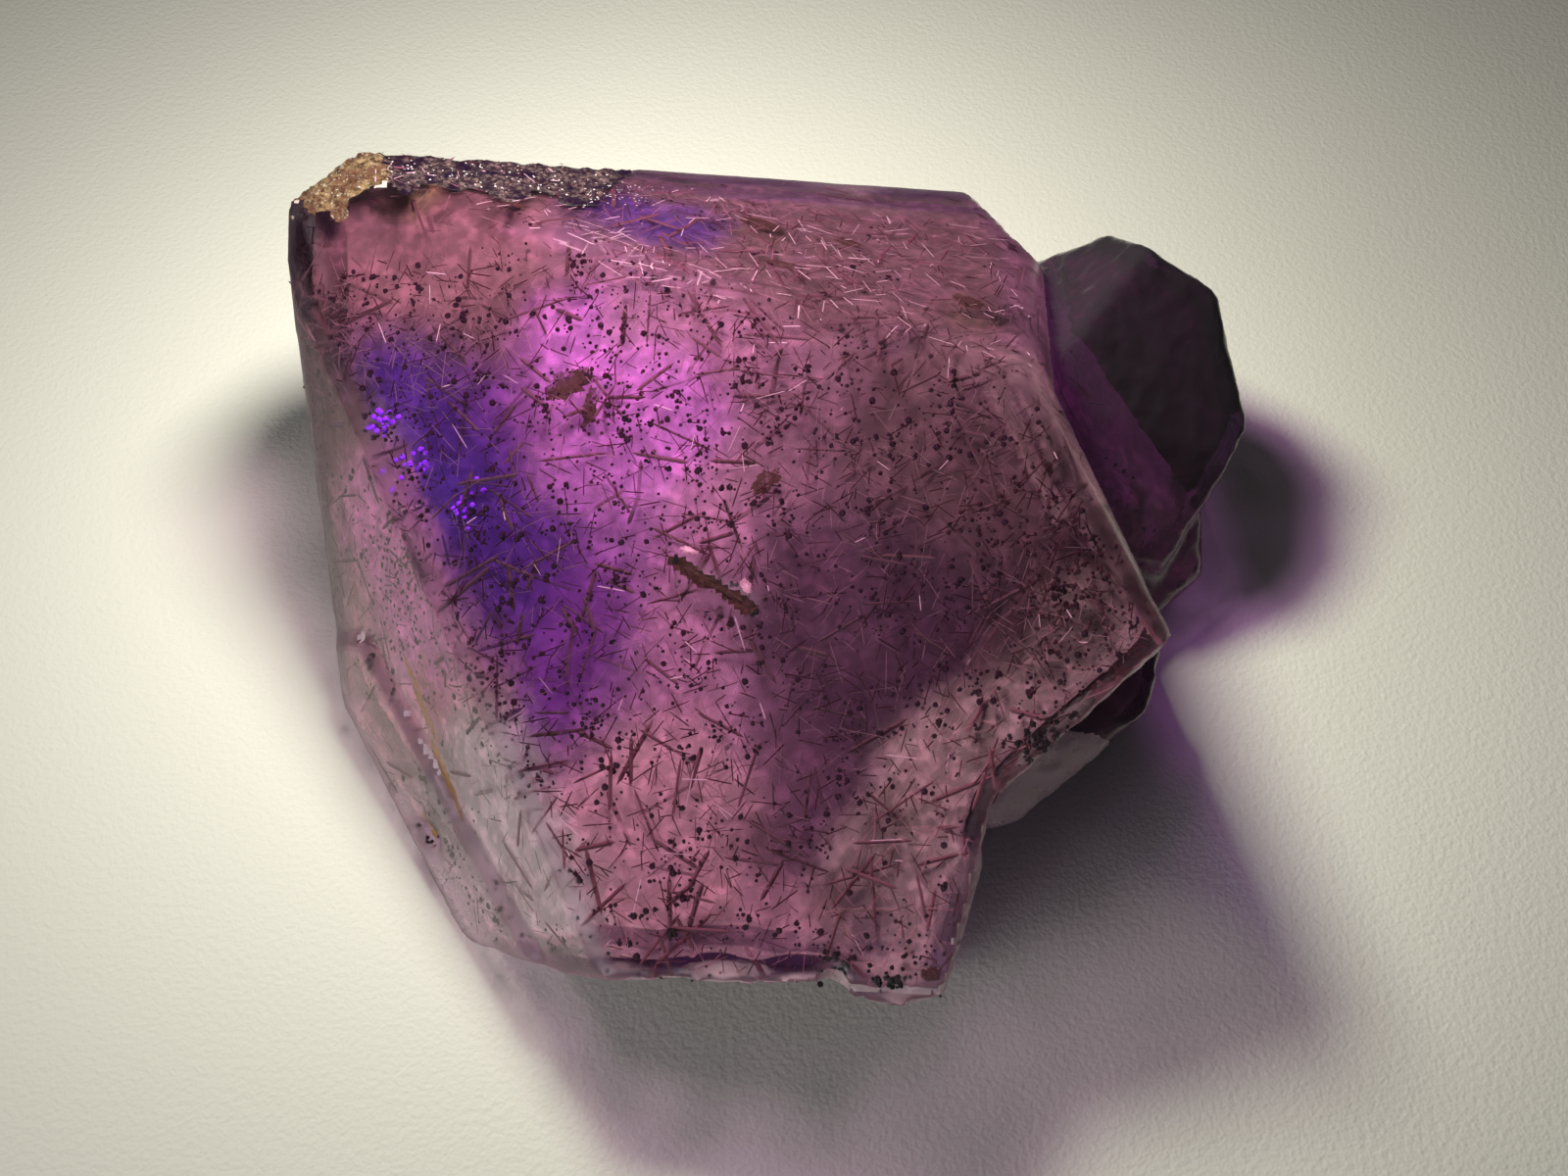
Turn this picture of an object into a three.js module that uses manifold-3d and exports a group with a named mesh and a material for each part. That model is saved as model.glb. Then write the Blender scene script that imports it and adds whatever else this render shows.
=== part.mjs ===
// An amethyst point that broke off its cluster, lying on its broken base, with a small companion crystal and a pale
// chunk of quartz grown to its right side. Units are millimetres and +Z is up.
//
// Quartz that grew together is one body, so the whole specimen is one solid. Each crystal starts as a block around
// its own middle and is cut back by planes: the flat growth faces first, then the breaks, then the small damage.
//
// A plane is given by its heading (degrees from +X towards +Y, the way it faces seen from above), its dip (degrees
// that it faces away from straight up: 0 is a flat top, 90 a wall, more than 90 an overhang) and its reach (how far
// it is from the crystal's middle).

import * as THREE from 'three';
import { mergeVertices } from 'three/addons/utils/BufferGeometryUtils.js';
import Module from 'manifold-3d';

const wasm = await Module();
wasm.setup();

// The middle of the main crystal is the point that everything is placed from, this high over the surface.
const MIDDLE_HEIGHT = 8;

// The main crystal's long axis climbs to its tip by this angle, towards this heading, turned about itself.
const AXIS_RISE = 42.2;
const AXIS_HEADING = 153.9;
const AXIS_SPIN = 150.1;

// Growth faces of the main crystal: the angle round the long axis, the angle between the face's normal and the
// axis (51.8 degrees on a perfect quartz pyramid), and how far the face grew from the middle.
const PYRAMID = 51.8;
const GROWTH_FACES = {
  wideFront: { around: 0, slope: PYRAMID, grew: 6.5 },
  upperBack: { around: 61, slope: 50, grew: 11.2 },
  back: { around: 118, slope: 54.5, grew: 18 },
  farBack: { around: 180, slope: PYRAMID, grew: 22.8 },
  underTip: { around: 242, slope: 55.5, grew: 17.8 },
  left: { around: 298, slope: PYRAMID, grew: 12.7 },
  prismRight: { around: 60, slope: 92.5, grew: 16.2 },
};

// Broken sides of the main crystal, each as heading, dip and reach. Where two breaks meet in an inner corner, only
// what lies past both of them is gone, so the corner is the last of the pair.
const BREAKS = {
  leftEnd: [208, 101, 18.1],
  lowerLeft: [254, 116, 19.7],
  nearEnd: [269, 118, 18.9],
  nearRight: [345.5, 95.5, 14.3],
  lowerRight: [315.5, 111, 16.2],
  right: [17.5, 73, 15.9],
  upperRight: [357.5, 87.5, 14.6],
  farCorner: [32.5, 61.5, 18.9],
  farEnd: [90, 97, 20],
  farLeft: [150, 120, 21.4],
};
const INNER_CORNERS = [['nearRight', 'lowerRight'], ['right', 'upperRight']];

// Narrow worn facets on the main crystal: the chip at its tip, and the strip along its front left edge.
const WORN = {
  tipChip: [145, 13, 13.2],
  tipSide: [140, 61, 23.8],
  frontLeftEdge: [216, 57, 11.97],
};

// A plate of the left face stands proud of the rest of the face. It ends at a jagged edge across the face and one
// down it, each given as a plane with the plate on its inner side.
const PLATE_THICK = 0.35;
const PLATE_ENDS = [[99, 47.5, -2.7], [15.5, 24, -8.8]];

// Shell-shaped hollows that the breaks left. Each row is one hollow on a break: how far across the break and up it
// the hollow lies, counted from the point nearest the crystal's middle, then the radius of the ball that scoops it
// out and how deep the ball goes.
const SHELLS = {
  leftEnd: [[-0.6, -4.2, 1.8, 0.12], [4.4, -4.9, 2.4, 0.2]],
  lowerLeft: [[-3.6, 1.6, 2.4, 0.25], [-0.6, 3.0, 4, 0.4], [0.6, 6.2, 2, 0.12]],
  nearEnd: [[-3.4, 4.6, 6, 0.45], [1.2, 5.4, 7, 0.6], [-1.0, 8.2, 2.4, 0.16], [4.4, 7.6, 5, 0.4], [8, 5.6, 4, 0.4]],
  nearRight: [[-14.6, -1.4, 4, 0.4], [-13.2, 2.2, 2.2, 0.18], [-16.8, 0.8, 2, 0.2], [-11.2, -3.8, 3, 0.3]],
  lowerRight: [[2.2, 3.8, 3, 0.35], [4.2, 0.6, 3.4, 0.4], [0.4, 7.2, 2, 0.2]],
  farEnd: [[-6.5, -2.4, 9, 0.7], [2.5, -1.6, 10, 0.8], [7.5, -3.6, 5, 0.4]],
  farLeft: [[-6, 3.8, 5, 0.3], [-3.4, 4.4, 4, 0.3]],
};

// Pits with their own outline: a middle, the half-lengths of a stretched ball, and how it is turned.
const PITS = [
  { at: [0.1, -6.1, 5.15], half: [2.0, 0.42, 0.5], heading: -35, dip: 12 },
  { at: [1.2, -6.9, 5.0], half: [0.75, 0.5, 0.45], heading: -10, dip: 16 },
  { at: [-0.9, -5.3, 5.2], half: [0.8, 0.3, 0.4], heading: -60, dip: 12 },
  { at: [-12.5, -11.6, -6.1], half: [1.2, 0.7, 0.55], heading: 112, dip: 25 },
  { at: [5.0, -21.0, -0.5], half: [0.7, 0.45, 0.5], heading: 10, dip: 60 },
  { at: [14.2, -13.0, 4.1], half: [0.8, 0.5, 0.35], heading: 48, dip: 20 },
];

// Crystals and chunks that grew against the main crystal: a middle, and the planes that bound each.
const COMPANION = {
  at: [20, 8, -1.5],
  size: 15,
  planes: [
    [153, 38, 7.5],
    [312, 36.5, 4.3],
    [286, 54, 4.9],
    [52, 56, 6.5],
    [6.5, 77, 4.3],
    [336.5, 109, 3.8],
    [109, 58, 8.8],
    [196, 92, 11],
    [60, 98, 6.2],
    [118, 100, 9.5],
    [262, 98, 7.6],
  ],
};
const COMPANION_STEP = { at: [25.1, 9.3, 2.6], half: [0.9, 0.9, 1.1], heading: 20, dip: 10 };
const FOOT = {
  at: [18.4, 2.6, -5],
  size: 10,
  planes: [
    [308, 55, 2.6],
    [1, 86, 4.2],
    [316, 117, 3.4],
    [60, 95, 6],
    [180, 95, 6],
    [250, 100, 4.6],
    [40, 30, 4.4],
  ],
};
const CHUNK = {
  at: [15.7, -7.1, -5.9],
  size: 12,
  planes: [
    [301, 62, 3.0],
    [288.5, 121, 2.4],
    [312, 114, 1.5],
    [314.5, 116.5, 0.8],
    [347, 97, 2.8],
    [320, 20, 3.8],
    [40, 95, 5],
    [90, 92, 7],
    [150, 92, 8],
    [225, 100, 6],
  ],
};
const SPUR = {
  at: [6.9, -19.6, -2.2],
  size: 4,
  planes: [
    [243.5, 23, 2.4],
    [232, 122, 1.3],
    [264, 124, 1.1],
    [292, 126, 1.2],
    [344, 97, 2.6],
    [90, 90, 3.5],
    [300, 160, 3],
  ],
};

// How finely the scooping balls are cut into triangles: a large ball needs more than a small one.
const BALL_FACET = 0.9;
const MOST_BALL_DETAIL = 14;

const BLOCK = 60;
const MATERIAL = { color: 0x9a5fb0, roughness: 0.12, metalness: 0 };
const UP = new THREE.Vector3(0, 0, 1);

// The turn that points +Z the way a plane faces.
function facing([heading, dip]) {
  const turn = new THREE.Matrix4().makeRotationZ(THREE.MathUtils.degToRad(heading));
  return turn.multiply(new THREE.Matrix4().makeRotationY(THREE.MathUtils.degToRad(dip)));
}

// A closed three.js geometry as a solid that can be cut and joined.
function toSolid(geometry) {
  const bare = geometry.clone();
  bare.deleteAttribute('normal');
  bare.deleteAttribute('uv');
  const merged = mergeVertices(bare, 1e-4);
  return new wasm.Manifold(new wasm.Mesh({
    numProp: 3,
    vertProperties: merged.attributes.position.array,
    triVerts: merged.index ? merged.index.array : new Uint32Array(merged.attributes.position.count).map((_, i) => i),
  }));
}

function toGeometry(solid) {
  const mesh = solid.getMesh();
  const geometry = new THREE.BufferGeometry();
  geometry.setAttribute('position', new THREE.BufferAttribute(mesh.vertProperties, 3));
  geometry.setIndex(new THREE.BufferAttribute(mesh.triVerts, 1));
  return geometry;
}

// A block with one side on a plane and all the rest of it outside, for cutting away what lies past the plane.
function outside(middle, plane) {
  const block = new THREE.BoxGeometry(2 * BLOCK, 2 * BLOCK, BLOCK);
  block.translate(0, 0, BLOCK / 2 + plane[2]);
  block.applyMatrix4(facing(plane));
  block.translate(...middle);
  return toSolid(block);
}

function cutBack(solid, middle, planes) {
  return planes.reduce((left, plane) => left.subtract(outside(middle, plane)), solid);
}

// A crystal or a chunk: a cube around its middle, cut back by its planes.
function lump({ at, size, planes }) {
  const cube = new THREE.BoxGeometry(2 * size, 2 * size, 2 * size);
  cube.translate(...at);
  return cutBack(toSolid(cube), at, planes);
}

// The plane of a growth face of the main crystal, from the way its long axis points.
function growthPlane({ around, slope, grew }) {
  const axisTurn = facing([AXIS_HEADING, 90 - AXIS_RISE]);
  axisTurn.multiply(new THREE.Matrix4().makeRotationZ(THREE.MathUtils.degToRad(AXIS_SPIN)));
  const normal = UP.clone().applyMatrix4(facing([around, slope])).applyMatrix4(axisTurn);
  const heading = THREE.MathUtils.radToDeg(Math.atan2(normal.y, normal.x));
  const dip = THREE.MathUtils.radToDeg(Math.acos(normal.z));
  return [heading, dip, grew];
}

function ball(radius) {
  const detail = Math.min(MOST_BALL_DETAIL, Math.ceil(radius / BALL_FACET) + 1);
  return new THREE.IcosahedronGeometry(radius, detail);
}

// A shell-shaped hollow in a break: the ball's centre is outside the crystal, so only its near side goes in.
function shell(plane, [across, up, radius, deep]) {
  const scoop = ball(radius).translate(-up, across, plane[2] + radius - deep);
  return toSolid(scoop.applyMatrix4(facing(plane)));
}

function shells() {
  return Object.entries(SHELLS).flatMap(([name, rows]) => rows.map((row) => shell(BREAKS[name], row)));
}

function pit({ at, half, heading, dip }) {
  const stretched = ball(1).scale(...half);
  stretched.applyMatrix4(facing([heading, dip]));
  return toSolid(stretched.translate(...at));
}

// What is missing from the left face beside the plate: a skin of the plate's thickness with the plate left out.
function besideThePlate([heading, dip, reach]) {
  const skin = outside([0, 0, 0], [heading, dip, reach - PLATE_THICK]);
  const block = toSolid(new THREE.BoxGeometry(2 * BLOCK, 2 * BLOCK, 2 * BLOCK));
  return skin.subtract(cutBack(block, [0, 0, 0], PLATE_ENDS));
}

function mainCrystal() {
  const block = toSolid(new THREE.BoxGeometry(BLOCK, BLOCK, BLOCK));
  const faces = Object.fromEntries(
    Object.entries(GROWTH_FACES).map(([name, face]) => [name, growthPlane(face)]),
  );
  faces.left[2] += PLATE_THICK;
  const grown = cutBack(block, [0, 0, 0], Object.values(faces));
  const bare = grown.subtract(besideThePlate(faces.left));
  const cornered = INNER_CORNERS.flat();
  const plain = Object.keys(BREAKS).filter((name) => !cornered.includes(name)).map((name) => BREAKS[name]);
  const broken = cutBack(bare, [0, 0, 0], [...plain, ...Object.values(WORN)]);
  return INNER_CORNERS.reduce((left, [one, other]) => {
    const pastBoth = outside([0, 0, 0], BREAKS[one]).intersect(outside([0, 0, 0], BREAKS[other]));
    return left.subtract(pastBoth);
  }, broken);
}

function specimen() {
  const companion = lump(COMPANION).subtract(pit(COMPANION_STEP));
  let solid = shells().reduce((left, hollow) => left.subtract(hollow), mainCrystal());
  solid = solid.add(lump(SPUR));
  solid = PITS.reduce((left, hollow) => left.subtract(pit(hollow)), solid);
  solid = solid.add(companion).add(lump(FOOT)).add(lump(CHUNK));
  return solid.subtract(outside([0, 0, 0], [0, 180, MIDDLE_HEIGHT]));
}

// The part's origin is under the middle of its box, on the surface that it lies on.
const geometry = toGeometry(specimen());
geometry.computeBoundingBox();
const { min, max } = geometry.boundingBox;
geometry.translate(-(min.x + max.x) / 2, -(min.y + max.y) / 2, -min.z);
geometry.computeVertexNormals();

const amethystPoint = new THREE.Mesh(geometry, new THREE.MeshStandardMaterial(MATERIAL));
amethystPoint.name = 'amethyst_point';

const group = new THREE.Group();
group.add(amethystPoint);

export default group;
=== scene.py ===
# %% [markdown]
# A broken-off amethyst point lies on a sheet of paper with a small lamp hanging close behind it. Nearly all
# that one sees of such a stone isn't on its skin but under it: clouds of violet that follow old crystal
# faces, loose straight needles, round specks and brown films. So this file builds the stone the way it
# grew, from the frame's solid inwards: a clear skin of quartz, coloured clouds below each face, and then
# everything that got stuck.

# %% Load the solid that the stone has to fit
import math
import random

import bmesh
import bpy
import numpy as np
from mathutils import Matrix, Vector, bvhtree, kdtree, noise


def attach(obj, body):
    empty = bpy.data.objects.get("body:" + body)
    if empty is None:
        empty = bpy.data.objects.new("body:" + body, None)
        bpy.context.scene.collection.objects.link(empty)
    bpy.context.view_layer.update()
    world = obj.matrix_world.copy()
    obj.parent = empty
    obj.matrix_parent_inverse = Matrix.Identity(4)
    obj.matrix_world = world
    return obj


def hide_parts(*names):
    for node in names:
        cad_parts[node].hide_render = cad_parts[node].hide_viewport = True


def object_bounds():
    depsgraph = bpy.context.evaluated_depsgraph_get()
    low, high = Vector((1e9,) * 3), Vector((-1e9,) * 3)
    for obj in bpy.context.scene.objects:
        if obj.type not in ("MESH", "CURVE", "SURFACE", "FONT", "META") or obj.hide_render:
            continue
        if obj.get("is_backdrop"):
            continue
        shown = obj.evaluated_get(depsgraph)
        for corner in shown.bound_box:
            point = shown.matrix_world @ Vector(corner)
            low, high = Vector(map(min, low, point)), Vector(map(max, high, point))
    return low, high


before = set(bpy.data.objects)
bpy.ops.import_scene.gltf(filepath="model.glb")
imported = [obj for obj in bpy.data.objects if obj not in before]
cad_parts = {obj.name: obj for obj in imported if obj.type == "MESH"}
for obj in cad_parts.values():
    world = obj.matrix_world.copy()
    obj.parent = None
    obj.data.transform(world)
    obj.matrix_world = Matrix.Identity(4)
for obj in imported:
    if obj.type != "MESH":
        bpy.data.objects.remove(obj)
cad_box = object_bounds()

MM = 0.001
STONE = "amethyst_point"
BODY = "root"
stone_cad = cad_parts[STONE]
print("solid to fit, mm:", [round(v / MM, 2) for v in cad_box[1] - cad_box[0]])

# %% [markdown]
# The stone's faces are its map. Each face gets a name, and its plane is measured on the frame's solid, so
# that a needle or a spot of colour can be placed by how far across and up it lies on a face and how deep
# below it. The directions only have to be close enough to pick the right face.

# %% Name the faces and measure them
HEART = Vector((-2.83, 1.07, 8.0)) * MM
TOWARD = {
    "front": (-0.17, -0.35, 0.92),
    "top": (0.14, 0.37, 0.92),
    "left": (-0.77, -0.50, 0.39),
    "right": (0.77, 0.18, 0.61),
    "back": (-0.01, 0.91, 0.40),
    "far_back": (-0.65, 0.75, -0.09),
    "under_tip": (-0.99, 0.0, -0.14),
}
SAME_FACE = 0.995


class Face:
    """A flat crystal face: which way it looks, how far out it lies and which way is across and up on it."""

    def __init__(self, toward):
        aim = Vector(toward).normalized()
        near = [p for p in stone_cad.data.polygons if p.normal.dot(aim) > SAME_FACE]
        widest = max(near, key=lambda p: p.area)
        self.normal = widest.normal.copy()
        self.reach = (widest.center - HEART).dot(self.normal)
        self.across = (Vector((1, 0, 0)) - self.normal * self.normal.x).normalized()
        self.up = self.normal.cross(self.across)

    def at(self, across, up, depth=0.0):
        """The place that lies so many millimetres across, up and below this face."""
        level = self.reach - depth * MM
        return HEART + self.normal * level + self.across * (across * MM) + self.up * (up * MM)

    def place(self, point):
        """How far across, up and deep a point lies, in millimetres."""
        arm = point - HEART
        return arm.dot(self.across) / MM, arm.dot(self.up) / MM, (self.reach - arm.dot(self.normal)) / MM


faces = {name: Face(toward) for name, toward in TOWARD.items()}
for name, face in faces.items():
    print(name, "face looks", [round(v, 3) for v in face.normal], "from", round(face.reach / MM, 2), "mm out")

# %% [markdown]
# The frame's solid has few, long triangles, which can't carry worn edges or sugary breaks. A voxel remesh
# weaves an even net over it. That net wobbles, so each of its points is put back on the solid's wall, which
# makes the faces truly flat again. Points beside a crease are then relaxed towards their neighbours, which
# gives every edge the small, even rounding of a stone that has been carried about.

# %% Keep the solid's walls and creases for measuring
CREASE_ANGLE = math.radians(14)
CREASE_STEP = 0.05 * MM

solid = bmesh.new()
solid.from_mesh(stone_cad.data)
bmesh.ops.remove_doubles(solid, verts=solid.verts, dist=0.001 * MM)
solid.faces.ensure_lookup_table()
walls = bvhtree.BVHTree.FromBMesh(solid)

crease_spots = []
for edge in solid.edges:
    if edge.calc_face_angle(0) > CREASE_ANGLE:
        start, end = (corner.co for corner in edge.verts)
        steps = max(1, int((end - start).length / CREASE_STEP))
        crease_spots += [start.lerp(end, i / steps) for i in range(steps + 1)]
creases = kdtree.KDTree(len(crease_spots))
for index, spot in enumerate(crease_spots):
    creases.insert(spot, index)
creases.balance()
print(len(solid.faces), "faces on the solid,", len(crease_spots), "points along its creases")


def room(point):
    """How far inside the stone a point lies, in metres. Outside it is negative."""
    _, roof, _, _ = walls.ray_cast(point, Vector((0, 0, 1)))
    gap = (walls.find_nearest(point)[0] - point).length
    return gap if roof is not None and roof.z > 0 else -gap


# %% Show pieces and weave nets
def placed(name, data):
    """A new object in the scene."""
    made = bpy.data.objects.new(name, data)
    bpy.context.scene.collection.objects.link(made)
    return made


def shown(mesh, name):
    """Puts a mesh into the scene as a piece of the stone."""
    mesh.name = name
    piece = placed(name, mesh)
    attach(piece, BODY)
    return piece


def woven(mesh, stitch):
    """A new mesh with an even net of squares over the given one."""
    form = placed("weaving_form", mesh)
    net = form.modifiers.new("net", "REMESH")
    net.mode = "VOXEL"
    net.voxel_size = stitch
    even = bpy.data.meshes.new_from_object(form.evaluated_get(bpy.context.evaluated_depsgraph_get()))
    bpy.data.objects.remove(form)
    return even


# %% Weave the skin
STITCH = 0.25 * MM
ROUNDED = 0.42 * MM
ROUNDS = 4
PULL = 0.6

raw = bpy.data.meshes.new("raw")
solid.to_mesh(raw)
skin_mesh = woven(raw, STITCH)
wall_of, crease_gap = [], []
for vertex in skin_mesh.vertices:
    on_wall, _, wall, _ = walls.find_nearest(vertex.co)
    vertex.co = on_wall
    wall_of.append(wall)
    crease_gap.append(creases.find(on_wall)[2])


def arrays(mesh):
    """The points of a mesh and the directions they look in."""
    points, looks = np.empty(len(mesh.vertices) * 3), np.empty(len(mesh.vertices) * 3)
    mesh.vertices.foreach_get("co", points)
    mesh.vertices.foreach_get("normal", looks)
    return points.reshape(-1, 3), looks.reshape(-1, 3)


def put(mesh, points):
    """Moves all points of a mesh at once."""
    mesh.vertices.foreach_set("co", points.ravel())
    mesh.update()


def relaxed(mesh, points, mask, rounds):
    """The points with the masked ones drawn towards the mean of their neighbours."""
    ends = np.empty(len(mesh.edges) * 2, int)
    mesh.edges.foreach_get("vertices", ends)
    first, second = ends.reshape(-1, 2).T
    count = np.bincount(ends, minlength=len(points))[:, None]
    for _ in range(rounds):
        total = np.zeros_like(points)
        np.add.at(total, first, points[second])
        np.add.at(total, second, points[first])
        points = points + mask[:, None] * (total / count - points) * PULL
    return points


crease_gap = np.array(crease_gap)
points, _ = arrays(skin_mesh)
put(skin_mesh, relaxed(skin_mesh, points, (crease_gap < ROUNDED).astype(float), ROUNDS))
print("skin:", len(skin_mesh.polygons), "squares")

# %% [markdown]
# No two sides of the stone broke or grew alike. Grown faces are nearly mirror flat. Broken sides show
# rippled, shell-like fracture. The tip is crushed to sugar, and a crumbly crust lies along the crest behind
# the tip. A short list of kinds keeps these apart, and each kind then gets its own relief in the mesh and
# its own finish.

# %% Sort the skin into kinds
GROWN, BROKEN, SUGAR, CRUST, COMPANION, RUST = range(6)
ON_FACE = 0.5
LEDGE_DEEP = 0.7
LEDGE = (faces["left"].at(-9.3, -4.2, 0.15), faces["left"].at(-2.9, -8.9, 0.15))
LEDGE_FROST = 0.30 * MM
BESIDE = -0.25
COMPANION_FROM, COMPANION_LOW = 11.0 * MM, -7.5 * MM
TIP = faces["top"].at(-19.3, 10.2)
TIP_SIZE = 2.9 * MM
CREST_START, CREST_END = -19.0, -5.0
CREST_LOW, CREST_WAVE, CREST_DEEP = 8.6, 1.6, 1.4
CREST_TAPER_FROM, CREST_TAPER = -7.0, 3.0
NOTCH = (faces["front"].at(-0.4, -2.7), faces["front"].at(2.8, -4.8))
NOTCH_WIDTH = 0.30 * MM
NOTCH_CLEAR = 1.0 * MM
TIP_RAGGED, NOTCH_RAGGED, LEDGE_RAGGED = 0.35, 0.5, 0.4


def ruffle(point, size, seed=0.0):
    """Soft noise from -1 to 1 with lumps of about the given size in metres."""
    return noise.noise(point / size + Vector((seed, 0.7 * seed, -seed)))


def rubble(point, size, seed=0.0):
    """Noise with crumbs in crumbs, from 0 to about 1."""
    return noise.turbulence(point / size + Vector((seed, seed, 0.3 * seed)), 4, True)


def along(point, start, end):
    """How far a point lies from a straight line between two places, in metres."""
    run = end - start
    share = min(1.0, max(0.0, (point - start).dot(run) / run.length_squared))
    return (point - start - run * share).length


def kind_of(point, normal):
    """Which kind of surface a place on the skin is."""
    grown_here = any(
        normal.dot(face.normal) > SAME_FACE and abs(face.place(point)[2]) < ON_FACE for face in faces.values()
    )
    behind = point.x > COMPANION_FROM and point.y > COMPANION_LOW
    if not grown_here and (behind or faces["right"].place(point)[2] < BESIDE):
        return COMPANION
    if (point - TIP).length < TIP_SIZE * (1 + TIP_RAGGED * ruffle(point, 0.9 * MM, 5)):
        return SUGAR
    across, up, depth = faces["top"].place(point)
    low = CREST_LOW + CREST_WAVE * ruffle(point, 1.6 * MM, 9)
    low += CREST_TAPER * max(0.0, across - CREST_TAPER_FROM)
    if depth < CREST_DEEP and CREST_START < across < CREST_END and up > low:
        return CRUST
    from_notch = along(point, *NOTCH)
    if from_notch < NOTCH_WIDTH * (1 + NOTCH_RAGGED * ruffle(point, 0.5 * MM, 3)):
        return RUST
    if from_notch < NOTCH_CLEAR:
        return GROWN
    if along(point, *LEDGE) < LEDGE_FROST * (1 + LEDGE_RAGGED * ruffle(point, 0.5 * MM, 3)):
        return BROKEN
    on_ledge = faces["left"].place(point)[2] < LEDGE_DEEP
    return GROWN if grown_here or on_ledge else BROKEN


kinds = [kind_of(v.co, solid.faces[wall].normal) for v, wall in zip(skin_mesh.vertices, wall_of)]
print("points of each kind:", [kinds.count(kind) for kind in range(6)])

# %% [markdown]
# Relief comes in two layers: the wear along the creases with a nick here and there, and the relief of the
# surface's own kind. There is none where the stone lies on the paper. A displace modifier could push the
# net by one texture, but here each kind has its own, and all of it goes inwards, so the stone keeps its size.

# %% Carve the relief
WEAR_WIDTH = 0.6 * MM
WEAR = 0.03 * MM
NICK = 0.20 * MM
WEAR_LUMP, NICK_LUMP = 2 * MM, 1.3 * MM
NICK_FROM, NICK_REACH = 0.3, 1.6
RIPPLE = 0.9 * MM
RIPPLE_CENTRES = [faces["front"].at(-9, -20, 6), faces["front"].at(14, -19, 5)]
CREST_SOFT = 0.45
LYING = 0.05 * MM
SUGAR_DEEP, CRUST_DEEP, RUST_DEEP = 0.34 * MM, 0.30 * MM, 0.16 * MM
RING_DEEP, BREAK_DEEP = 0.05 * MM, 0.16 * MM
COMPANION_WAVE, COMPANION_DEEP = 0.05 * MM, 0.10 * MM
GROWN_WAVE, CREST_CRUMBLING = 0.010 * MM, 0.22 * MM


def wear_at(point, gap):
    """How much is worn off beside a crease."""
    near = max(0.0, 1 - gap / WEAR_WIDTH)
    nick = max(0.0, ruffle(point, NICK_LUMP, 21) - NICK_FROM)
    wide = max(0.0, 1 - gap / (NICK_REACH * WEAR_WIDTH))
    return WEAR * near * near * (1 + ruffle(point, WEAR_LUMP, 2)) + NICK * wide * nick


def relief_at(point, kind):
    """How deep the surface of one kind lies below the solid's flat wall."""
    if kind == SUGAR:
        return SUGAR_DEEP * rubble(point, 0.7 * MM)
    if kind == CRUST:
        return CRUST_DEEP * rubble(point, 0.9 * MM, 4)
    if kind == RUST:
        return RUST_DEEP * rubble(point, 0.5 * MM, 8)
    if kind == BROKEN:
        ring = min((point - centre).length for centre in RIPPLE_CENTRES)
        wave = 0.5 + 0.5 * math.sin(math.tau * ring / RIPPLE + 2.5 * ruffle(point, 3 * MM, 6))
        return RING_DEEP * wave ** 3 + BREAK_DEEP * rubble(point, 2.2 * MM, 1)
    if kind == COMPANION:
        wave = COMPANION_WAVE * (1 + ruffle(point, 1.2 * MM, 7))
        return wave + COMPANION_DEEP * rubble(point, 1.4 * MM, 12)
    from_crest = max(faces["front"].place(point)[2], faces["top"].place(point)[2])
    crumbling = max(0.0, 1 - from_crest / CREST_SOFT) * rubble(point, 0.8 * MM, 33)
    return GROWN_WAVE * (1 + ruffle(point, 1.5 * MM, 15)) + CREST_CRUMBLING * crumbling


points, looks = arrays(skin_mesh)
depths = []
for point, kind, gap in zip(map(Vector, points), kinds, crease_gap):
    depths.append(0.0 if point.z < LYING else wear_at(point, gap) + relief_at(point, kind))
put(skin_mesh, points - looks * np.array(depths)[:, None])

skin = shown(skin_mesh, "amethyst_skin")
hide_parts(STONE)

# %% [markdown]
# Finishes are written as small recipes. Nodes could be made and linked one by one, but the maths of a
# shader is easier to read as an expression. So a Wire stands for a socket's output, and an expression such
# as 1 - wire adds the Math node for it.


# %% Plain arithmetic for sockets
class Wire:
    """An output socket that takes plain arithmetic."""

    def __init__(self, finish, node, output=None):
        self.finish = finish
        self.node = node
        self.socket = output or next(s for s in node.outputs if s.enabled and not s.is_unavailable)

    def maths(self, operation, first, second=0.0, clamp=False):
        """One Math node."""
        settings = {"operation": operation, "use_clamp": clamp}
        return self.finish.node("ShaderNodeMath", settings, {0: first, 1: second})

    def __add__(self, other):
        return self.maths("ADD", self, other)

    __radd__ = __add__

    def __sub__(self, other):
        return self.maths("SUBTRACT", self, other)

    def __rsub__(self, other):
        return self.maths("SUBTRACT", other, self)

    def __mul__(self, other):
        return self.maths("MULTIPLY", self, other)

    __rmul__ = __mul__

    def __truediv__(self, other):
        return self.maths("DIVIDE", self, other)

    def __rtruediv__(self, other):
        return self.maths("DIVIDE", other, self)

    def kept(self):
        """The same value, kept between 0 and 1."""
        return self.maths("ADD", self, 0.0, clamp=True)

    def over(self, edge, softness):
        """0 below the edge and 1 above it, with a soft step between."""
        return ((self - (edge - softness / 2)) / softness).kept()


# %% [markdown]
# A Finish holds one material. One method makes any node from its type, its settings and the values or links
# of its sockets, and the others are short names for the nodes that this stone needs again and again.


# %% Materials made node by node
TINT, WORN = "tint", "worn"


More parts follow.
